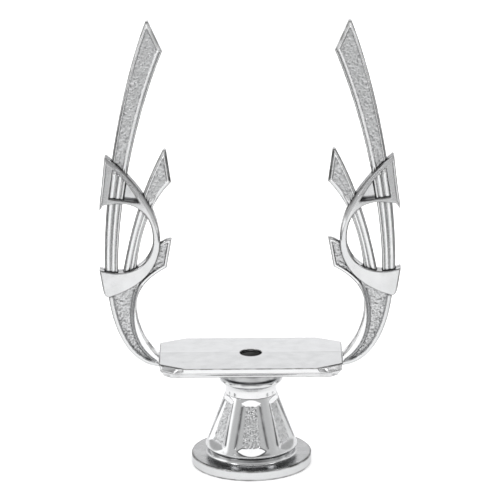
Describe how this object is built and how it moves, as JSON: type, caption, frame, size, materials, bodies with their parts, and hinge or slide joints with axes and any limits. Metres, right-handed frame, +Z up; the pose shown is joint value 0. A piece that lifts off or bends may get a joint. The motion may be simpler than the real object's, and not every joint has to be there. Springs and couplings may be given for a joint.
{
  "type": "trophy riser",
  "caption": "Plated display riser: a panelled pedestal on a round foot carries an eight-sided platform with a rod hole, between two feathered arms.",
  "frame": {"origin": "centre of the foot's underside, on the axis of the rod bore", "axes": "+X along the platform towards the right arm, -Y the front face, +Z up along the rod bore"},
  "size_m": [0.0982, 0.0398, 0.15],
  "materials": {
    "plating": "bright silver plating, polished faces with fine stippled panels",
    "steel": "plain zinc-plated steel"
  },
  "bodies": {
    "root": {"foot_flange": "plating", "pedestal_shell": "plating", "capital": "plating", "tie_tube": "steel", "tie_washer": "steel", "tie_nut": "steel", "platform_base": "plating", "platform_top": "plating", "platform_screw_1": "steel", "platform_screw_2": "steel", "platform_screw_3": "steel", "platform_screw_4": "steel", "left_arm_stem": "plating", "left_long_feather": "plating", "left_short_feather": "plating", "left_crescent_front": "plating", "left_crescent_back": "plating", "left_stem_pin": "steel", "left_long_feather_pin": "steel", "left_short_feather_pin": "steel", "right_arm_stem": "plating", "right_long_feather": "plating", "right_short_feather": "plating", "right_crescent_front": "plating", "right_crescent_back": "plating", "right_stem_pin": "steel", "right_long_feather_pin": "steel", "right_short_feather_pin": "steel"}
  },
  "joints": []
}
